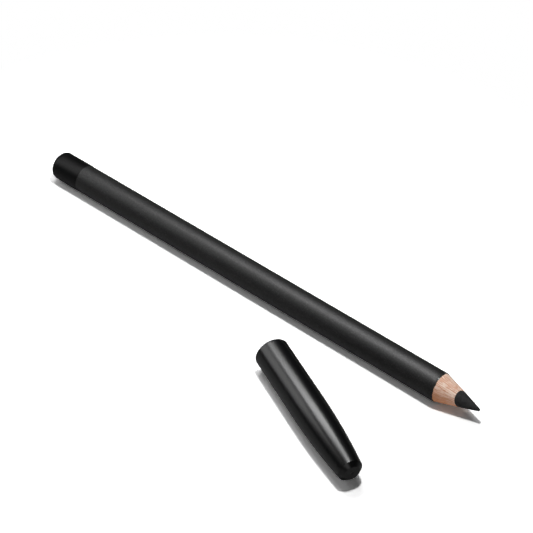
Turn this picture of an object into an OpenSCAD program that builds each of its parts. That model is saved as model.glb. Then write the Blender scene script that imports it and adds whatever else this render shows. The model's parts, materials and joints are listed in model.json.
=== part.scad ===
// Wood-cased lip liner pencil, lying on its side, with its cap taken off and laid beside it.
// Millimetres. +X runs from the pencil's tail to its tip and +Z is up.
// The origin is the bottom centre of the box round both.

/* [Barrel] */
// Diameter of the lacquered barrel
barrel_d = 7.5; // [6.5:0.1:9]
// Length of the wood from its cut tail to the shoulder where the sharpening starts
wood_l = 126.5; // [80:0.5:160]
// Thickness of the lacquer on the wood
lacquer_t = 0.12; // [0.08:0.01:0.3]
// Radius that rounds the tail of the barrel
tail_r = 1.35; // [0.6:0.05:1.8]

/* [Core] */
// Diameter of the colour core
core_d = 4.2; // [2.8:0.1:5]
// Roll of the glued seam between the two slats, from level
seam_roll = 39; // [0:1:180]

/* [Sharpened point] */
// Angle between the sharpened cone and the axis
point_angle = 17.2; // [13:0.1:24]
// Radius of the blunted tip
tip_r = 0.4; // [0.2:0.05:0.8]

/* [End dip] */
// Length of the dipped coat on the tail
dip_l = 9.35; // [4:0.05:25]
// Thickness of the coat on the side of the barrel
dip_t = 0.05; // [0.03:0.01:0.3]
// Thickness of the coat on the end of the tail
dip_end_t = 0.2; // [0.1:0.05:1]

/* [Cap outside] */
// Length of the cap
cap_l = 42.35; // [36:0.05:60]
// Wall of the cap round its bore
cap_wall = 0.5; // [0.4:0.05:1.2]
// Length of the straight skirt, from the mouth to where the nose starts to curve in
skirt_l = 20; // [10:0.5:30]
// Radius of the long curve of the nose
nose_arc_r = 180; // [140:5:400]
// Height of the bevel round the closed end
bevel_h = 0.95; // [0.4:0.05:2]
// Width of the bevel round the closed end
bevel_w = 1.07; // [0.4:0.05:1.5]
// Radius that rounds the mouth's outer edge
lip_r = 0.25; // [0.1:0.05:0.35]
// Diameter of the shallow gate dimple in the closed end
gate_d = 1; // [0.6:0.1:2]
// Depth of the gate dimple
gate_depth = 0.15; // [0.05:0.05:0.3]

/* [Cap inside] */
// Radial clearance between the barrel and the cap's bore
bore_clear = 0.1; // [0.06:0.01:0.4]
// Length of the bore, from the mouth to the ledge that stops the sharpened shoulder
bore_l = 24.5; // [12:0.5:30]
// Chamfer that leads the point into the mouth
lead_in = 0.15; // [0.05:0.05:0.3]
// Wall of the nose beyond the ledge
nose_wall = 0.9; // [0.6:0.05:1.4]
// Thickness of the closed end
end_wall = 1.6; // [1:0.1:3]
// Radius inside the closed end
end_fillet_r = 0.8; // [0.3:0.1:1.4]
// Number of grip ribs in the bore
rib_n = 6; // [3:1:10]
// Width of a grip rib
rib_w = 0.5; // [0.3:0.05:1]
// Clearance between the barrel and the crest of a rib
rib_clear = 0.02; // [0.01:0.01:0.05]
// Length of the ramp at a rib's front end
rib_ramp = 1.5; // [0.5:0.1:3]
// Length of the ribs, from the ledge towards the mouth
rib_l = 9; // [4:0.5:11]

/* [Where the cap lies] */
// Gap between the barrel's side and the nearest edge of the cap's mouth
cap_gap = 9.8; // [2:0.1:30]
// Distance that the cap's mouth lies behind the sharpened shoulder
cap_behind = 37.8; // [0:0.1:90]
// Turn of the cap from the pencil's direction
cap_turn = 24.15; // [5:0.05:60]

/* [Hidden] */
$fn = 128;
// Number of conical bands that the nose's long curve is made of, outside and inside
nose_bands = 20;
// Overlap of shapes that are joined or cut
over = 0.1;

barrel_r = barrel_d / 2;
wood_r = barrel_r - lacquer_t;
core_r = core_d / 2;
dip_r = barrel_r + dip_t;
// Rounding of the coat, between the thin side and the thicker end
dip_round_r = tail_r + (dip_t + dip_end_t) / 2;
shoulder_x = dip_end_t + wood_l;
// The cone's own apex, and the centre of the blunt tip that sits tangent inside the cone
apex_x = shoulder_x + barrel_r / tan(point_angle);
tip_x = apex_x - tip_r / sin(point_angle);
pencil_l = tip_x + tip_r;

bore_r = barrel_r + bore_clear;
cap_r = bore_r + cap_wall;
rib_r = barrel_r + rib_clear;
rim_s = cap_l - bevel_h;
cavity_s = cap_l - end_wall;
gate_r = (pow(gate_d / 2, 2) + pow(gate_depth, 2)) / (2 * gate_depth);

// Radius of the cap at a distance s from its mouth: straight on the skirt, then a long arc
function nose_r(s) = cap_r - nose_arc_r + sqrt(pow(nose_arc_r, 2) - pow(max(0, s - skirt_l), 2));
// Points along that curve between two distances from the mouth, set in by a wall
function nose_curve(s0, s1, wall) = [
    for (i = [0:nose_bands]) let (s = s0 + (s1 - s0) * i / nose_bands) [nose_r(s) - wall, s]
];
rim_r = nose_r(rim_s);
face_r = rim_r - bevel_w;
cavity_r = nose_r(cavity_s - end_fillet_r) - nose_wall;

// Where the cap lies, from the pencil's tail and axis
mouth_x = shoulder_x - cap_behind;
mouth_y = -(barrel_r + cap_gap + cap_r * cos(cap_turn));
// The box round both, in the same measure
low_y = mouth_y - rim_s * sin(cap_turn) - rim_r * cos(cap_turn);
high_x = max(pencil_l, mouth_x + cap_l * cos(cap_turn) + face_r * sin(cap_turn));
mid_x = high_x / 2;
mid_y = (low_y + dip_r) / 2;

// Turns a shape built up the Z axis to lie along +X, on the ground
module lay_pencil() { translate([-mid_x, -mid_y, dip_r]) rotate([0, 90, 0]) children(); }
module lay_cap() {
    translate([mouth_x - mid_x, mouth_y - mid_y, cap_r])
        rotate([0, 0, -cap_turn])
            rotate([0, 90, 0])
                children();
}

// Half of a bar's outline with its foot rounded, for a revolve: r across, y along the axis
module round_foot(r, y0, y1, round_r) {
    intersection() {
        union() {
            translate([0, y0]) square([r - round_r, y1 - y0]);
            translate([0, y0 + round_r]) square([r, y1 - y0 - round_r]);
            translate([r - round_r, y0 + round_r]) circle(round_r);
        }
        translate([0, y0]) square([r, y1 - y0]);
    }
}

// The whole pencil before its parts are told apart: rounded tail, barrel, one sharpened cone, blunt tip
module pencil_form() {
    rotate_extrude() {
        round_foot(barrel_r, dip_end_t, shoulder_x, tail_r);
        polygon([
            [0, shoulder_x - over], [barrel_r, shoulder_x - over], [barrel_r, shoulder_x],
            [tip_r * cos(point_angle), tip_x + tip_r * sin(point_angle)],
            [0, tip_x + tip_r * sin(point_angle)]
        ]);
        intersection() {
            translate([0, tip_x]) circle(tip_r);
            translate([0, tip_x]) square([tip_r, tip_r]);
        }
    }
}

// Sleeve along the pencil between two radii, longer than the pencil at both ends
module sleeve(outer_r, inner_r) {
    difference() {
        translate([0, 0, -over]) cylinder(r = outer_r, h = pencil_l + 2 * over);
        translate([0, 0, -2 * over]) cylinder(r = inner_r, h = pencil_l + 4 * over);
    }
}

// Half of the grooved wood on one side of the glued seam
module slat(side) {
    intersection() {
        pencil_form();
        sleeve(wood_r, core_r);
        rotate([0, 0, seam_roll])
            translate([side > 0 ? 0 : -barrel_d, -barrel_d, -over])
                cube([barrel_d, 2 * barrel_d, pencil_l + 2 * over]);
    }
}

// Soft colour core, glued in the groove of both slats and sharpened with them
module core() {
    color([0.1, 0.09, 0.1])
        lay_pencil()
            intersection() {
                pencil_form();
                translate([0, 0, -over]) cylinder(r = core_r, h = pencil_l + 2 * over);
            }
}

module upper_slat() { color([0.8, 0.62, 0.5]) lay_pencil() slat(-1); }

module lower_slat() { color([0.76, 0.57, 0.44]) lay_pencil() slat(1); }

// Thin sleeve of lacquer, cut back by the sharpening
module lacquer() {
    color([0.17, 0.17, 0.18])
        lay_pencil()
            intersection() {
                pencil_form();
                sleeve(barrel_r, wood_r);
            }
}

// Dipped coat over the rounded tail
module end_dip() {
    color([0.04, 0.04, 0.045])
        lay_pencil()
            difference() {
                rotate_extrude() round_foot(dip_r, 0, dip_l, dip_round_r);
                pencil_form();
            }
}

// Half of the cap's outside: rounded lip, straight skirt, curved nose, bevelled end
module cap_outside() {
    round_foot(cap_r, 0, skirt_l, lip_r);
    polygon(concat(
        [[0, skirt_l - over], [cap_r, skirt_l - over]],
        nose_curve(skirt_l, rim_s, 0),
        [[face_r, cap_l], [0, cap_l]]
    ));
}

// Half of the hollow: lead-in, bore, ledge, and a nose that keeps an even wall
module cap_hollow() {
    translate([0, -over]) square([bore_r, bore_l + over]);
    polygon([[0, -over], [bore_r + lead_in + over, -over], [bore_r, lead_in], [0, lead_in]]);
    polygon(concat(
        [[0, bore_l - over], [nose_r(bore_l) - nose_wall, bore_l - over]],
        nose_curve(bore_l, cavity_s - end_fillet_r, nose_wall),
        [[0, cavity_s - end_fillet_r]]
    ));
    translate([0, cavity_s - end_fillet_r - over]) square([cavity_r - end_fillet_r, end_fillet_r + over]);
    intersection() {
        translate([cavity_r - end_fillet_r, cavity_s - end_fillet_r]) circle(end_fillet_r);
        translate([0, cavity_s - end_fillet_r]) square([cavity_r, end_fillet_r]);
    }
}

// Grip rib on the wall of the bore, ramped at the front, running back to the ledge
module grip_rib() {
    rib_s = bore_l - rib_l;
    translate([0, rib_w / 2, 0])
        rotate([90, 0, 0])
            linear_extrude(rib_w)
                polygon([
                    [bore_r + over, rib_s], [bore_r, rib_s], [rib_r, rib_s + rib_ramp],
                    [rib_r, bore_l + over], [bore_r + over, bore_l + over]
                ]);
}

// Moulded cap, one piece, lying on its side with its mouth towards the pencil's tail
module cap() {
    color([0.05, 0.05, 0.055])
        lay_cap()
            difference() {
                union() {
                    rotate_extrude()
                        difference() {
                            cap_outside();
                            cap_hollow();
                        }
                    for (i = [0:rib_n - 1])
                        rotate([0, 0, i * 360 / rib_n]) grip_rib();
                }
                translate([0, 0, cap_l - gate_depth + gate_r]) sphere(gate_r);
            }
}

core();
upper_slat();
lower_slat();
lacquer();
end_dip();
cap();
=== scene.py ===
import json
import math

import bpy
import bmesh
from mathutils import Matrix, Vector, noise


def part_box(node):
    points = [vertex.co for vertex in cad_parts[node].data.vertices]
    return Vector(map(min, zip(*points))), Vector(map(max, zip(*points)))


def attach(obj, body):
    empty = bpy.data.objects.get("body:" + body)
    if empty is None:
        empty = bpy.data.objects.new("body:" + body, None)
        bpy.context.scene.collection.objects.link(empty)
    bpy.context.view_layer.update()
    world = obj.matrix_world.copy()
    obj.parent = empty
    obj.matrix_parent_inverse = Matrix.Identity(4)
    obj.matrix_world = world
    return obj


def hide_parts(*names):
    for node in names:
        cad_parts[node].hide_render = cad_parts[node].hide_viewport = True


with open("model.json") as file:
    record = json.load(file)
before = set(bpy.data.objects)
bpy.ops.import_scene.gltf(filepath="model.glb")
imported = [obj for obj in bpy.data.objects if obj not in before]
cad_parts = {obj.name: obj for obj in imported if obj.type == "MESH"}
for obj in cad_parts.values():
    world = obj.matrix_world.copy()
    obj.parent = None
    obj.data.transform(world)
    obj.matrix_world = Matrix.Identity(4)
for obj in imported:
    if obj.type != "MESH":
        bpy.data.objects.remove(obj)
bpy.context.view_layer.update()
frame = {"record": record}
mm = 0.001
weldGap = 0.0002 * mm  # points that close are welded, which closes seams and poles


# Where things lie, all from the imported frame

def placeOfPencil():
    dipLow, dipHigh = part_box("end_dip")
    coreLow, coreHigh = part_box("core")
    lacquerLow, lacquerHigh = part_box("lacquer")
    slatHighs = [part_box(name)[1].z for name in ("upper_slat", "lower_slat")]
    axisZ = (lacquerLow.z + lacquerHigh.z) / 2
    return {
        "tailX": dipLow.x,  # very end of the dipped tail
        "dipX": dipHigh.x,  # front edge of the dip
        "tipX": coreHigh.x,  # end of the blunt tip
        "axisY": (lacquerLow.y + lacquerHigh.y) / 2,
        "axisZ": axisZ,
        "dipR": dipHigh.z - axisZ,
        "barrelR": lacquerHigh.z - axisZ,
        "woodR": max(slatHighs) - axisZ,
        "coreR": (coreHigh.z - coreLow.z) / 2,
        "woodTailX": coreLow.x,
    }


def placeOfCap():
    bore = next(m for m in frame["record"]["mounts"] if m["name"] == "cap_bore")
    inward = -Vector(bore["axis"])  # from the mouth to the closed end
    half = bore["dims"]["length_mm"] * mm / 2
    mouth = Vector(bore["pos_m"]) - inward * (half + capSizes["leadIn"])
    turn = inward.to_track_quat("X", "Z").to_matrix().to_4x4()
    return Matrix.Translation(mouth) @ turn


# Small tools for node trees

class Wire:  # one output of a node, so that node maths reads as plain maths
    def __init__(self, board, socket):
        self.board = board
        self.socket = socket

    def maths(self, operation, *values):
        return self.board.maths(operation, *values)

    def __add__(self, other):
        return self.maths("ADD", self, other)

    def __radd__(self, other):
        return self.maths("ADD", other, self)

    def __sub__(self, other):
        return self.maths("SUBTRACT", self, other)

    def __rsub__(self, other):
        return self.maths("SUBTRACT", other, self)

    def __mul__(self, other):
        return self.maths("MULTIPLY", self, other)

    def __rmul__(self, other):
        return self.maths("MULTIPLY", other, self)

    def __truediv__(self, other):
        return self.maths("DIVIDE", self, other)

    def __rtruediv__(self, other):
        return self.maths("DIVIDE", other, self)

    def __gt__(self, other):
        return self.maths("GREATER_THAN", self, other)

    def __lt__(self, other):
        return self.maths("LESS_THAN", self, other)


class Board:  # a node tree and the one way that nodes are added to it
    def __init__(self, tree):
        self.tree = tree

    def node(self, kind, settings=None, values=None):
        made = self.tree.nodes.new(kind)
        for name, value in (settings or {}).items():
            setattr(made, name, value)
        for name, value in (values or {}).items():
            self.feed(made.inputs[name], value)
        return made

    def feed(self, socket, value):
        if isinstance(value, Wire):
            self.tree.links.new(value.socket, socket)
        else:
            socket.default_value = value

    def out(self, kind, output, settings=None, values=None):
        return Wire(self, self.node(kind, settings, values).outputs[output])

    def maths(self, operation, *values):
        isVector = any(isinstance(v, Wire) and v.socket.type == "VECTOR" for v in values)
        kind = "ShaderNodeVectorMath" if isVector else "ShaderNodeMath"
        return self.out(kind, 0, {"operation": operation}, dict(enumerate(values)))

    def spread(self, value, low, high, toLow=0.0, toHigh=1.0, smooth=True):
        style = "SMOOTHSTEP" if smooth else "LINEAR"
        values = {"Value": value, "From Min": low, "From Max": high, "To Min": toLow, "To Max": toHigh}
        return self.out("ShaderNodeMapRange", 0, {"interpolation_type": style}, values)

    def split(self, vector):
        return [Wire(self, socket) for socket in self.node("ShaderNodeSeparateXYZ", {}, {0: vector}).outputs]

    def vector(self, x=0.0, y=0.0, z=0.0):
        return self.out("ShaderNodeCombineXYZ", 0, {}, {"X": x, "Y": y, "Z": z})

    def measure(self, operation, *vectors):
        # one number from vectors, such as a length, a distance or a dot product
        return self.out("ShaderNodeVectorMath", "Value", {"operation": operation}, dict(enumerate(vectors)))

    def mixColour(self, factor, a, b):
        # sockets 6, 7 and 2 are the Mix node's colours
        colours = [c if isinstance(c, Wire) else (*c, 1) for c in (a, b)]
        return self.out("ShaderNodeMix", 2, {"data_type": "RGBA"}, {0: factor, 6: colours[0], 7: colours[1]})

    def grey(self, tone):
        return self.out("ShaderNodeCombineColor", 0, {}, {"Red": tone, "Green": tone, "Blue": tone})

    def stretched(self, where, scale):
        return self.out("ShaderNodeMapping", 0, {}, {"Vector": where, "Scale": scale})

    def clouds(self, where, scale=1.0, detail=2.0, roughness=0.5):
        values = {"Vector": where, "Scale": scale, "Detail": detail, "Roughness": roughness}
        return self.out("ShaderNodeTexNoise", "Fac", {}, values)


# Outlines and turned meshes

def roundedOutline(corners, steps):
    # corners are (along, across, radius): a corner with a radius becomes an arc
    points = []
    for k, (along, across, radius) in enumerate(corners):
        here = Vector((along, across))
        if radius == 0:
            points.append(here)
            continue
        toBack = (Vector(corners[k - 1][:2]) - here).normalized()
        toNext = (Vector(corners[k + 1][:2]) - here).normalized()
        half = toBack.angle(toNext) / 2
        middle = here + (toBack + toNext).normalized() * radius / math.sin(half)
        first = here + toBack * radius / math.tan(half) - middle
        last = here + toNext * radius / math.tan(half) - middle
        sweep = first.angle_signed(last)
        for i in range(steps + 1):
            points.append(middle + Matrix.Rotation(-sweep * i / steps, 2) @ first)
    return points


def evenPoints(start, end, count):
    return [start + (end - start) * i / count for i in range(count + 1)]


def addObject(name, data):
    made = bpy.data.objects.new(name, data)
    bpy.context.scene.collection.objects.link(made)
    return made


def finishMesh(mesh, name, material, sharpFrom=35):
    bmesh.ops.remove_doubles(mesh, verts=mesh.verts, dist=weldGap)
    bmesh.ops.recalc_face_normals(mesh, faces=mesh.faces)
    data = bpy.data.meshes.new(name)
    mesh.to_mesh(data)
    mesh.free()
    data.shade_smooth()
    data.set_sharp_from_angle(angle=math.radians(sharpFrom))
    data.materials.append(material)
    return addObject(name, data)


def turnedPiece(name, outlineAt, material, sides, fromAngle=0.0, toAngle=360.0):
    # outlineAt(angle) gives (along, across) points: a loop, or a line from axis to axis
    mesh = bmesh.new()
    turns = evenPoints(fromAngle, toAngle, sides)
    whole = toAngle - fromAngle == 360
    if whole:
        turns.pop()
    rows = []
    for degrees in turns:
        angle = math.radians(degrees)
        sideways, upwards = math.cos(angle), math.sin(angle)
        rows.append([
            mesh.verts.new((along, pencil["axisY"] + across * sideways, pencil["axisZ"] + across * upwards))
            for along, across in outlineAt(degrees)
        ])
    first = outlineAt(fromAngle)
    steps = len(first) - 1 if first[0][1] == 0 and first[-1][1] == 0 else len(first)
    for one, two in zip(rows, rows[1:] + (rows[:1] if whole else [])):
        for k in range(steps):
            after = (k + 1) % len(one)
            mesh.faces.new((one[k], one[after], two[after], two[k]))
    if not whole:
        mesh.faces.new(rows[0])
        mesh.faces.new(rows[-1])
    return finishMesh(mesh, name, material)


# Pencil: core, two slats, lacquer and dip, all turned round one axis

pencil = placeOfPencil()

pencilSizes = {
    "pointAngle": 17.2,  # between the sharpened cone and the axis, degrees
    "tipR": 0.4 * mm,
    "tailRound": 1.475 * mm,  # rounding of the dipped tail
    "woodTailRound": 1.35 * mm,  # rounding of the wood inside it
    "dipEdgeRound": 0.03 * mm,
    "hiddenEnd": 1.6 * mm,  # how far in the tail the lacquer starts, under the dip
    "seamAngle": 39.0,  # where the upper slat's first glued face lies, degrees round from the +Y side
    "sides": 360,
    "tailSteps": 6,  # steps in the wood's round at the tail
    "dipSteps": 14,
    "ballSteps": 8,  # steps in the blunt tip
    "leadRows": 12,  # rows of faces on the lead's cone
    "lowerSlatPaintedShade": 0.55,  # painted shade: the lower slat's colours are the upper one's times this, which also cuts its warm bounce light onto the floor's shadow
}

ringGap = 0.8 * mm  # rings that far from an edge keep long straight sides evenly shaded

cutSizes = {
    "edgeBack": 0.45 * mm,  # how far the lacquer is cut back behind the exact cone
    "edgeLean": 0.2 * mm,  # the sharpener sat a little askew, so one side is cut further back
    "leanAngle": 75.0,  # the side that is cut furthest back
    "lacquerBevel": 0.2 * mm,  # length of the lacquer's cut edge
    "flakeStart": 0.12,  # noise below this leaves the lacquer's outer edge whole
    "coneRows": 26,  # rows of faces on the wood's cone
}

# noise round the cut: about how many waves go round, a seed, and how far it reaches
cutNoise = {
    "wave": (14, 3.1, 0.1 * mm),
    "fineWave": (34, 7.7, 0.06 * mm),
    "tooth": (25, 4.4, 0.13 * mm),  # scallops on top of the waves
    "fineTooth": (90, 4.4, 0.052 * mm),
    "flake": (26, 1.3, 0.384 * mm),  # small flakes off the lacquer's outer edge
    "flats": (9, 5.0, 0.014 * mm),  # flats that the blade leaves on the wood
    "flatsGrow": (3, 0.5),  # added to the flats' waves and seed by the end of the cone
}

leadSizes = {
    "thinner": 0.16 * mm,  # this pencil's lead is that much thinner than the nominal radius
    "drift": 0.3 * mm,  # and lies that far off the middle of the wood
    "driftAngle": 112.0,
}


def ripple(degrees, waves, seed):
    # smooth noise round the pencil that closes on itself, where a wave takes about two units
    angle = math.radians(degrees)
    radius = waves / math.pi
    return noise.noise(Vector((radius * math.cos(angle), radius * math.sin(angle), seed)))


def coneStart(radius):
    # where the exact sharpened cone has this radius, measured along the pencil
    slope = math.tan(math.radians(pencilSizes["pointAngle"]))
    ballX = pencil["tipX"] - pencilSizes["tipR"]
    apexX = ballX + pencilSizes["tipR"] / math.sin(math.radians(pencilSizes["pointAngle"]))
    return apexX - radius / slope


def cutEdge(degrees):
    # front edge of the wood's full round, where the lacquer ends
    lean = cutSizes["edgeLean"] * math.cos(math.radians(degrees - cutSizes["leanAngle"]))
    names = ("wave", "fineWave", "tooth", "fineTooth")
    bumps = sum(cutNoise[name][2] * ripple(degrees, *cutNoise[name][:2]) for name in names)
    return coneStart(pencil["woodR"]) - cutSizes["edgeBack"] - lean + bumps


def leadReach(degrees):
    # from the pencil's axis to the lead's side
    drift = leadSizes["drift"] * math.cos(math.radians(degrees - leadSizes["driftAngle"]))
    return pencil["coreR"] - leadSizes["thinner"] + drift


def lacquerOutline(degrees):
    edge = cutEdge(degrees)
    waves, seed, reach = cutNoise["flake"]
    flake = max(0, ripple(degrees, waves, seed) - cutSizes["flakeStart"]) * reach
    start = pencil["tailX"] + pencilSizes["hiddenEnd"]
    outerEdge = edge - cutSizes["lacquerBevel"] - flake
    ring = coneStart(pencil["barrelR"]) - cutSizes["edgeBack"] - 2 * ringGap
    return [
        (start, pencil["woodR"]),
        (start, pencil["barrelR"]),
        (ring, pencil["barrelR"]),
        (outerEdge, pencil["barrelR"]),
        (edge, pencil["woodR"]),
    ]


def slatOutline(degrees):
    edge = cutEdge(degrees)
    inner = leadReach(degrees)
    rows = cutSizes["coneRows"]
    end = coneStart(inner)
    cone = []
    for i in range(rows + 1):
        share = i / rows
        along = edge + (end - edge) * share
        across = pencil["woodR"] + (inner - pencil["woodR"]) * share
        waves, seed = (start + grow * share for start, grow in zip(cutNoise["flats"], cutNoise["flatsGrow"]))
        flat = ripple(degrees, waves, seed) * math.sin(math.pi * share)
        cone.append((along, across + cutNoise["flats"][2] * flat))
    foot = [
        (pencil["woodTailX"], inner, 0),
        (pencil["woodTailX"], pencil["woodR"], pencilSizes["woodTailRound"]),
        (edge, pencil["woodR"], 0),
    ]
    return [tuple(point) for point in roundedOutline(foot, pencilSizes["tailSteps"])[:-1]] + cone


def coreOutline(degrees):
    tipR = pencilSizes["tipR"]
    ballX = pencil["tipX"] - tipR
    turns = evenPoints(math.radians(pencilSizes["pointAngle"]), math.pi / 2, pencilSizes["ballSteps"])
    ball = [(ballX + tipR * math.sin(turn), tipR * math.cos(turn)) for turn in turns[:-1]]
    ball.append((pencil["tipX"], 0))
    outer = leadReach(degrees)
    shoulder = Vector((coneStart(outer), outer))
    rows = pencilSizes["leadRows"]
    cone = [tuple(shoulder.lerp(Vector(ball[0]), i / rows)) for i in range(rows)]
    return [(pencil["woodTailX"], 0), (pencil["woodTailX"], outer)] + cone + ball


def dipOutline(degrees):
    tailX = pencil["tailX"]
    inside = pencilSizes["hiddenEnd"]
    corners = [
        (tailX, 0, 0),
        (tailX, pencil["dipR"], pencilSizes["tailRound"]),
        (tailX + pencilSizes["tailRound"] + ringGap, pencil["dipR"], 0),
        (pencil["dipX"] - ringGap, pencil["dipR"], 0),
        (pencil["dipX"], pencil["dipR"], pencilSizes["dipEdgeRound"]),
        (pencil["dipX"], pencil["barrelR"], 0),
        (tailX + inside, pencil["barrelR"], 0),
        (pencil["woodTailX"], pencil["barrelR"] - inside, 0),
        (pencil["woodTailX"], 0, 0),
    ]
    return [tuple(point) for point in roundedOutline(corners, pencilSizes["dipSteps"])]


# Cap: one moulded shell, turned by geometry nodes, with grip ribs set round its bore

capSizes = {
    "length": 42.35 * mm,
    "outerR": 4.35 * mm,
    "skirt": 20.0 * mm,  # straight part from the mouth
    "noseArc": 180.0 * mm,
    "bevelHeight": 0.95 * mm,
    "bevelWidth": 1.07 * mm,
    "edgeRound": 0.11 * mm,  # on both edges of the bevel
    "lipRound": 0.25 * mm,
    "leadInRound": 0.03 * mm,
    "boreR": 3.85 * mm,
    "boreLength": 24.5 * mm,
    "leadIn": 0.15 * mm,
    "noseWall": 0.9 * mm,
    "endWall": 1.6 * mm,
    "endRound": 0.8 * mm,
    "gateR": 0.5 * mm,
    "gateDepth": 0.15 * mm,
    "gateSteps": 6,
    "noseSteps": 28,
    "hollowSteps": 16,
    "roundSteps": 8,
    "sides": 240,
}

# grip ribs, under the names of the node group's inputs
ribSizes = {
    "Rib Count": 6,
    "Rib Width": 0.5 * mm,
    "Rib Rise": 0.08 * mm,  # how far the crest stands out of the bore's wall
    "Rib Root": 0.1 * mm,  # how far the rib reaches into the wall
    "Rib Length": 9.0 * mm,
    "Rib Ramp": 1.5 * mm,
}


def noseRadius(along):
    bend = max(0.0, along - capSizes["skirt"])
    return capSizes["outerR"] - capSizes["noseArc"] + math.sqrt(capSizes["noseArc"] ** 2 - bend ** 2)


def capOutline():
    size = capSizes
    dishR = (size["gateR"] ** 2 + size["gateDepth"] ** 2) / (2 * size["gateDepth"])
    rimAt = size["length"] - size["bevelHeight"]
    faceR = noseRadius(rimAt) - size["bevelWidth"]
    cavityEnd = size["length"] - size["endWall"]
    bendEnd = cavityEnd - size["endRound"]
    cavityR = noseRadius(bendEnd) - size["noseWall"]
    corners = []
    for across in evenPoints(0, size["gateR"], size["gateSteps"]):
        depth = size["gateDepth"] - dishR + math.sqrt(dishR ** 2 - across ** 2)
        corners.append((size["length"] - max(0.0, depth), across, 0))
    corners += [(size["length"], faceR, size["edgeRound"]), (rimAt, noseRadius(rimAt), size["edgeRound"])]
    nose = evenPoints(rimAt, size["skirt"], size["noseSteps"])
    corners += [(along, noseRadius(along), 0) for along in nose[1:]]
    corners += [
        (ringGap, size["outerR"], 0),
        (0, size["outerR"], size["lipRound"]),
        (0, size["boreR"] + size["leadIn"], size["leadInRound"]),
        (size["leadIn"], size["boreR"], size["leadInRound"]),
        (ringGap, size["boreR"], 0),
        (size["boreLength"], size["boreR"], 0),
    ]
    hollow = evenPoints(size["boreLength"], bendEnd, size["hollowSteps"])
    corners += [(along, noseRadius(along) - size["noseWall"], 0) for along in hollow[:-1]]
    corners += [(cavityEnd, cavityR, size["endRound"]), (cavityEnd, 0, 0)]
    return roundedOutline(corners, size["roundSteps"])


def capMouldingTree():
    tree = bpy.data.node_groups.new("capMoulding", "GeometryNodeTree")
    face = tree.interface
    face.new_socket("Outline", in_out="INPUT", socket_type="NodeSocketGeometry")
    for name in ("Sides", "Rib Count"):
        face.new_socket(name, in_out="INPUT", socket_type="NodeSocketInt")
    for name in ("Bore Radius", "Bore Length", "Rib Width", "Rib Rise", "Rib Root", "Rib Length", "Rib Ramp"):
        face.new_socket(name, in_out="INPUT", socket_type="NodeSocketFloat")
    face.new_socket("Plastic", in_out="INPUT", socket_type="NodeSocketMaterial")
    face.new_socket("Moulding", in_out="OUTPUT", socket_type="NodeSocketGeometry")
    board = Board(tree)
    start = board.node("NodeGroupInput")
    given = {socket.name: Wire(board, socket) for socket in start.outputs if socket.name}
    index = board.out("GeometryNodeInputIndex", 0)
    position = board.out("GeometryNodeInputPosition", 0)

    # shell: one row of a grid for each outline point, one column for each side
    columns = given["Sides"] + 1
    rows = board.out("GeometryNodeAttributeDomainSize", "Point Count", {}, {"Geometry": given["Outline"]})
    grid = board.out("GeometryNodeMeshGrid", "Mesh", {}, {"Vertices X": rows, "Vertices Y": columns})
    row = board.maths("FLOOR", (index + 0.5) / columns)
    turn = (index - row * columns) / given["Sides"] * (2 * math.pi)
    point = board.out(
        "GeometryNodeSampleIndex", "Value", {"data_type": "FLOAT_VECTOR"},
        {"Geometry": given["Outline"], "Value": position, "Index": row},
    )
    along, across, _ = board.split(point)
    turned = board.vector(along, across * board.maths("COSINE", turn), across * board.maths("SINE", turn))
    shell = board.out("GeometryNodeSetPosition", 0, {}, {"Geometry": grid, "Position": turned})

    # one grip rib: a bar with three rows, its first row level with the bore
    bar = board.out("GeometryNodeMeshCube", "Mesh", {}, {"Size": (1, 1, 1), "Vertices X": 3})
    lengthwise, widthwise, depthwise = board.split(position)
    barStart = given["Bore Length"] - given["Rib Length"]
    stepOne = board.spread(lengthwise, -0.5, 0.0, smooth=False)
    stepTwo = board.spread(lengthwise, 0.0, 0.5, smooth=False)
    barAlong = barStart + stepOne * given["Rib Ramp"] + stepTwo * (given["Rib Length"] - given["Rib Ramp"])
    crest = given["Bore Radius"] - stepOne * given["Rib Rise"]
    root = given["Bore Radius"] + given["Rib Root"]
    barAcross = crest + (root - crest) * (depthwise > 0)
    barPlace = board.vector(barAlong, barAcross, widthwise * given["Rib Width"])
    bar = board.out("GeometryNodeSetPosition", 0, {}, {"Geometry": bar, "Position": barPlace})
    spots = board.out("GeometryNodePoints", 0, {}, {"Count": given["Rib Count"]})
    spin = board.vector(index / given["Rib Count"] * (2 * math.pi))
    ribs = board.out(
        "GeometryNodeInstanceOnPoints", 0, {}, {"Points": spots, "Instance": bar, "Rotation": spin}
    )
    join = board.node("GeometryNodeJoinGeometry")
    for part in (shell, ribs):
        tree.links.new(part.socket, join.inputs[0])
    joined = Wire(board, join.outputs[0])
    real = board.out("GeometryNodeRealizeInstances", 0, {}, {"Geometry": joined})
    dressed = board.out("GeometryNodeSetMaterial", 0, {}, {"Geometry": real, "Material": given["Plastic"]})
    board.node("NodeGroupOutput", {}, {"Moulding": dressed})
    return tree


def buildCap(material):
    data = bpy.data.meshes.new("capOutline")
    line = [(point[0], point[1], 0) for point in capOutline()]
    data.from_pydata(line, [(i, i + 1) for i in range(len(line) - 1)], [])
    blank = addObject("capOutline", data)
    tree = capMouldingTree()
    modifier = blank.modifiers.new("moulding", "NODES")
    modifier.node_group = tree
    values = dict(ribSizes)
    values.update({
        "Sides": capSizes["sides"],
        "Bore Radius": capSizes["boreR"],
        "Bore Length": capSizes["boreLength"],
        "Plastic": material,
    })
    for item in tree.interface.items_tree:
        if item.name in values:
            modifier[item.identifier] = values[item.name]
    bpy.context.view_layer.update()
    evaluated = blank.evaluated_get(bpy.context.evaluated_depsgraph_get())
    plain = bpy.data.meshes.new_from_object(evaluated)
    blank.modifiers.remove(modifier)
    bpy.data.objects.remove(blank)
    mesh = bmesh.new()
    mesh.from_mesh(plain)
    bmesh.ops.transform(mesh, matrix=placeOfCap(), verts=mesh.verts)
    return finishMesh(mesh, "moulded_cap", material, sharpFrom=30)


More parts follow.
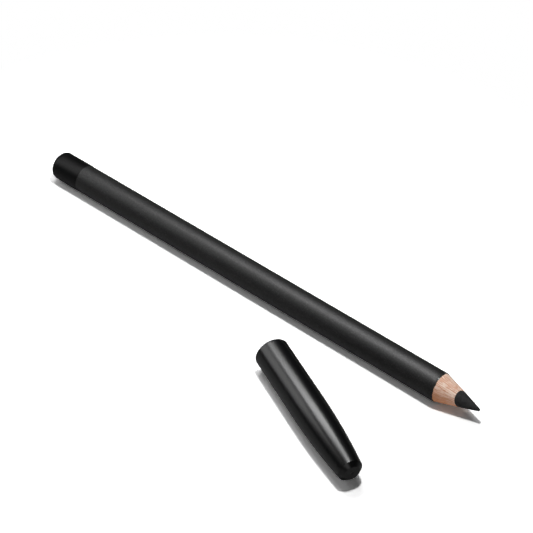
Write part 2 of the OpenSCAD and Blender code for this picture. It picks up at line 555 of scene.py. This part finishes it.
# Finishes

def newMaterial(name):
    material = bpy.data.materials.new(name)
    material.use_nodes = True
    material.node_tree.nodes.clear()
    return material, Board(material.node_tree)


def surfaceOf(board, values):
    shader = board.out("ShaderNodeBsdfPrincipled", 0, {}, values)
    board.node("ShaderNodeOutputMaterial", {}, {"Surface": shader})


def bumpOf(board, height, distance):
    return board.out("ShaderNodeBump", 0, {}, {"Height": height, "Distance": distance})


def lacquerFinish():
    look = {
        "base": (0.0055, 0.0055, 0.0057),
        "fleckColour": (0.045, 0.044, 0.043),
        "fleckScale": 5200,
        "fleckEdges": (0.60, 0.74),  # noise where a fleck starts, and where it is full
        "coarseScale": 3000,
        "cloudScale": 260,
        "roughness": 0.52,
        "cloudRoughness": 0.08,  # how far each noise changes the roughness
        "fleckRoughness": 0.08,
        "coarseRoughness": 0.35,
        "coat": 0.6,
        "coarseCoat": 1.3,
        "coatRoughness": 0.5,
        "refraction": 1.43,
        "bump": 0.012 * mm,
        "speckBump": 0.3,
        "glintColour": (0.40, 0.41, 0.42),  # painted highlight: a small light grey spot at the cut edge, where it catches the light
        "glintAngle": 104.0,
        "glintBack": 0.1 * mm,
        "glintEdges": (0.144 * mm, 0.36 * mm),  # full within the first distance, gone past the second
    }
    material, board = newMaterial("charcoalLacquer")
    where = board.out("ShaderNodeTexCoord", "Object")
    speck = board.clouds(where, look["fleckScale"], detail=1.0)
    fleck = board.spread(speck, *look["fleckEdges"])
    coarse = board.clouds(where, look["coarseScale"])
    cloud = board.clouds(where, look["cloudScale"], detail=3.0)
    # painted highlight, set on the cut edge where it catches the light
    glintTurn = math.radians(look["glintAngle"])
    glintPlace = (
        cutEdge(look["glintAngle"]) - look["glintBack"],
        pencil["axisY"] + pencil["barrelR"] * math.cos(glintTurn),
        pencil["axisZ"] + pencil["barrelR"] * math.sin(glintTurn),
    )
    toGlint = board.measure("DISTANCE", where, glintPlace)
    glint = board.spread(toGlint, *look["glintEdges"], toLow=1.0, toHigh=0.0)
    base = board.mixColour(fleck, look["base"], look["fleckColour"])
    uneven = (cloud - 0.5) * look["cloudRoughness"] + (coarse - 0.5) * look["coarseRoughness"]
    surfaceOf(board, {
        # the base colour carries the painted highlight at the cut edge
        "Base Color": board.mixColour(glint, base, look["glintColour"]),
        "Roughness": look["roughness"] + uneven - fleck * look["fleckRoughness"],
        "IOR": look["refraction"],
        "Coat Weight": look["coat"] + (coarse - 0.5) * look["coarseCoat"],
        "Coat Roughness": look["coatRoughness"],
        "Normal": bumpOf(board, coarse + speck * look["speckBump"], look["bump"]),
    })
    return material


# a shade below 1 gives a painted-shade copy of the wood, the same colours darkened
def woodFinish(name, paintedShade=1.0):
    look = {
        "light": (0.99, 0.77, 0.64),
        "dark": (0.78, 0.42, 0.27),
        "darkShare": 0.9,
        "paintedShadeRed": (0.66, 0.25, 0.10),  # painted shade: the wood turns darker and redder towards its lower side, facing the camera
        "paintedShadeShare": 0.95,
        "paintedShadeAngle": 207.0,  # that side, degrees round the pencil
        "paintedShadeEdges": (0.2 * mm, 3.6 * mm),  # how far to that side it starts, and where it is full
        "pore": (0.62, 0.26, 0.12),
        "poreShare": 0.9,
        "bandScale": (200, 11, 11),  # along the pencil, and round it as a share of the radius
        "bandEdges": (0.46, 0.56),
        "poreScale": (420, 21, 21),
        "poreEdges": (0.53, 0.62),
        "wanderScale": 700,
        "wander": 0.3,  # how far the bands wander
        "roughness": 0.55,
        "darkRoughness": 0.1,  # added where the wood is dark
        "bump": 0.015 * mm,
        "grainBump": 0.5,
    }
    look.update({tone: tuple(c * paintedShade for c in look[tone]) for tone in ("light", "dark", "paintedShadeRed", "pore")})
    material, board = newMaterial(name)
    where = board.out("ShaderNodeTexCoord", "Object")
    towards = math.radians(look["paintedShadeAngle"])
    aim = (0, math.cos(towards), math.sin(towards))
    offAxis = where - (0, pencil["axisY"], pencil["axisZ"])

    # in these coordinates the grain runs down the cone and narrows with it
    along, sideways, upwards = board.split(offAxis)
    radius = board.maths("SQRT", sideways * sideways + upwards * upwards)
    fan = board.vector(along, sideways / radius, upwards / radius)
    grain = board.clouds(board.stretched(fan, look["bandScale"]), detail=4.0, roughness=0.65)
    pores = board.clouds(board.stretched(fan, look["poreScale"]), roughness=0.6)
    wander = (board.clouds(where, look["wanderScale"]) - 0.5) * look["wander"]
    streak = board.spread(grain + wander, *look["bandEdges"])
    poreMask = board.spread(pores, *look["poreEdges"])
    # painted shade: darker, redder wood towards the lower side facing the camera
    paintedShadeAmount = board.spread(board.measure("DOT_PRODUCT", offAxis, aim), *look["paintedShadeEdges"])
    base = board.mixColour(streak * look["darkShare"], look["light"], look["dark"])
    base = board.mixColour(paintedShadeAmount * look["paintedShadeShare"], base, look["paintedShadeRed"])
    surfaceOf(board, {
        "Base Color": board.mixColour(poreMask * look["poreShare"], base, look["pore"]),
        "Roughness": look["roughness"] + streak * look["darkRoughness"],
        "Normal": bumpOf(board, pores + grain * look["grainBump"], look["bump"]),
    })
    return material


def coreFinish():
    look = {
        "base": (0.021, 0.0206, 0.021),
        "worn": (0.034, 0.0336, 0.034),
        "wornEdges": (0.35, 0.7),
        "mottleScale": 1500,
        "dragScale": (500, 4200, 4200),  # marks of the sharpener, drawn out along the pencil
        "roughness": 0.7,
        "mottleRoughness": 0.15,
        "refraction": 1.3,
        "bump": 0.012 * mm,
        "mottleBump": 0.5,
    }
    material, board = newMaterial("waxyCore")
    where = board.out("ShaderNodeTexCoord", "Object")
    mottle = board.clouds(where, look["mottleScale"], detail=3.0)
    drag = board.clouds(board.stretched(where, look["dragScale"]))
    surfaceOf(board, {
        "Base Color": board.mixColour(board.spread(mottle, *look["wornEdges"]), look["base"], look["worn"]),
        "Roughness": look["roughness"] + (mottle - 0.5) * look["mottleRoughness"],
        "IOR": look["refraction"],
        "Normal": bumpOf(board, drag + mottle * look["mottleBump"], look["bump"]),
    })
    return material


dipLook = {
    "base": (0.002, 0.002, 0.0022),
    "skinScale": 420,
    "roughness": 0.38,
    "skinRoughness": 0.06,
    "refraction": 1.36,
    "bump": 0.006 * mm,
}

capLook = {
    "base": (0.0012, 0.0012, 0.0014),
    "skinScale": 150,
    "roughness": 0.28,
    "skinRoughness": 0.02,
    "refraction": 1.68,
    "bump": 0.0015 * mm,
}


def blackFinish(name, look):
    # one plain black with a slightly uneven skin, for the dip and for the cap
    material, board = newMaterial(name)
    skin = board.clouds(board.out("ShaderNodeTexCoord", "Object"), look["skinScale"])
    surfaceOf(board, {
        "Base Color": (*look["base"], 1),
        "Roughness": look["roughness"] + (skin - 0.5) * look["skinRoughness"],
        "IOR": look["refraction"],
        "Normal": bumpOf(board, skin, look["bump"]),
    })
    return material


# Studio: floor, lamps and camera

studio = {
    "floorR": 3.0,
    "floorSides": 96,
    "floorDrop": 0.01 * mm,  # the floor lies that far under the part
    "litR": 0.08,  # inside this distance the floor shows its shadows
    "whiteR": 0.122,  # outside this distance it is plain white
    "floorWhite": 1.6,  # as the camera sees it
    "floorGloss": 0.2,  # as gloss and glass see it, since the photo's floor is that dim in the gloss
    "backGloss": 0.06,  # the same behind the pencil, where the photo's gloss is darker still
    "backEdge": 2 * mm,  # half the width of the change between the two, which lies under the pencil
    "floorBounce": 0.92,  # as the light that bounces off it sees it
    "worldGrey": 0.015,
}

# each lamp: where it is, its two sides in mm, and its share of the light that falls on the floor
lamps = {
    "key": {"at": (22, 24, 270), "size": (27, 27), "share": 0.52},
    "softbox": {"at": (-105, 79, 266), "size": (184, 80), "share": 0.36},
    "card": {"at": (-263, -80, 182), "size": (165, 208), "share": 0.09},
    "fill": {"at": (330, -300, 300), "size": (300, 300), "share": 0.035},
}

cameraView = {
    "target": (-3.645 * mm, 24.989 * mm, 0),
    "azimuth": 40.4857,
    "elevation": 43.0,
    "distance": 503.25 * mm,
    "focalPixels": 1976.14,
    "imagePixels": 533,
    "sensor": 36.0,
    "clipStart": 0.01,
}


def floorFinish():
    material, board = newMaterial("paleFloor")
    where = board.out("ShaderNodeTexCoord", "Object")
    path = board.node("ShaderNodeLightPath")
    camera, gloss, glass = (
        Wire(board, path.outputs[name]) for name in ("Is Camera Ray", "Is Glossy Ray", "Is Transmission Ray")
    )
    inGloss = board.maths("MAXIMUM", gloss, glass)
    offAxis = board.split(where)[1] - pencil["axisY"]
    edge = studio["backEdge"]
    glossTone = board.spread(offAxis, -edge, edge, studio["floorGloss"], studio["backGloss"])
    tone = (
        studio["floorBounce"]
        + (studio["floorWhite"] - studio["floorBounce"]) * camera
        + (glossTone - studio["floorBounce"]) * inGloss
    )
    farTone = 1 + (glossTone - 1) * inGloss
    matt = board.out("ShaderNodeBsdfDiffuse", 0, {}, {"Color": board.grey(tone)})
    glow = board.out("ShaderNodeEmission", 0, {}, {"Color": board.grey(farTone), "Strength": 1})
    far = board.spread(board.measure("LENGTH", where), studio["litR"], studio["whiteR"])
    shader = board.out("ShaderNodeMixShader", 0, {}, {0: far, 1: matt, 2: glow})
    board.node("ShaderNodeOutputMaterial", {}, {"Surface": shader})
    return material


def buildFloor():
    mesh = bmesh.new()
    bmesh.ops.create_circle(mesh, cap_ends=True, segments=studio["floorSides"], radius=studio["floorR"])
    bmesh.ops.translate(mesh, verts=mesh.verts, vec=(0, 0, -studio["floorDrop"]))
    data = bpy.data.meshes.new("floor")
    mesh.to_mesh(data)
    mesh.free()
    data.materials.append(floorFinish())
    addObject("floor", data)


def buildLamps():
    for name, lamp in lamps.items():
        place = Vector(lamp["at"]) * mm
        data = bpy.data.lights.new(name, "AREA")
        data.shape = "RECTANGLE"
        data.size, data.size_y = (side * mm for side in lamp["size"])
        # the power that gives its share of a full-white floor at the middle
        data.energy = lamp["share"] * math.pi ** 2 * place.length ** 3 / place.z
        made = addObject(name, data)
        made.location = place
        made.rotation_euler = place.to_track_quat("Z", "Y").to_euler()


def buildWorld():
    world = bpy.data.worlds.new("studio")
    world.use_nodes = True
    board = Board(world.node_tree)
    world.node_tree.nodes.clear()
    grey = studio["worldGrey"]
    glow = board.out("ShaderNodeBackground", 0, {}, {"Color": (grey, grey, grey, 1), "Strength": 1})
    board.node("ShaderNodeOutputWorld", {}, {"Surface": glow})
    bpy.context.scene.world = world


def buildCamera():
    azimuth, elevation = (math.radians(cameraView[name]) for name in ("azimuth", "elevation"))
    back = Vector((
        math.sin(azimuth) * math.cos(elevation), -math.cos(azimuth) * math.cos(elevation), math.sin(elevation)
    ))
    data = bpy.data.cameras.new("camera")
    data.sensor_width = cameraView["sensor"]
    data.lens = cameraView["focalPixels"] / cameraView["imagePixels"] * cameraView["sensor"]
    data.clip_start = cameraView["clipStart"]
    camera = addObject("camera", data)
    camera.location = Vector(cameraView["target"]) + back * cameraView["distance"]
    camera.rotation_euler = (-back).to_track_quat("-Z", "Y").to_euler()
    bpy.context.scene.camera = camera


def dress(piece, body, slot, *nodes):
    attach(piece, body)
    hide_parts(*nodes)


print("camera, lamps and floor")
bpy.context.scene.view_settings.view_transform = "Standard"
buildCamera()
buildLamps()
buildWorld()
buildFloor()

print("pencil")
seam = pencilSizes["seamAngle"]
sides = pencilSizes["sides"]
upperWood = woodFinish("upperWood")
# the lower slat's wood is the upper one's with painted shade
shadedLowerWood = woodFinish("shadedLowerWood", pencilSizes["lowerSlatPaintedShade"])
core = turnedPiece("waxy_core", coreOutline, coreFinish(), sides)
upperSlat = turnedPiece("wood_upper_slat", slatOutline, upperWood, sides // 2, seam, seam + 180)
lowerSlat = turnedPiece("wood_lower_slat", slatOutline, shadedLowerWood, sides // 2, seam + 180, seam + 360)
lacquer = turnedPiece("charcoal_lacquer", lacquerOutline, lacquerFinish(), sides)
dip = turnedPiece("dipped_end", dipOutline, blackFinish("blackDip", dipLook), sides // 2)
dress(core, "pencil", "core", "core")
dress(upperSlat, "pencil", "wood", "upper_slat")
dress(lowerSlat, "pencil", "wood", "lower_slat")
dress(lacquer, "pencil", "lacquer", "lacquer")
dress(dip, "pencil", "end_dip", "end_dip")

print("cap")
cap = buildCap(blackFinish("glossBlackPlastic", capLook))
dress(cap, "cap", "cap", "cap")

for piece in (core, upperSlat, lowerSlat, lacquer, dip, cap):
    print(piece.name, len(piece.data.vertices), "points")
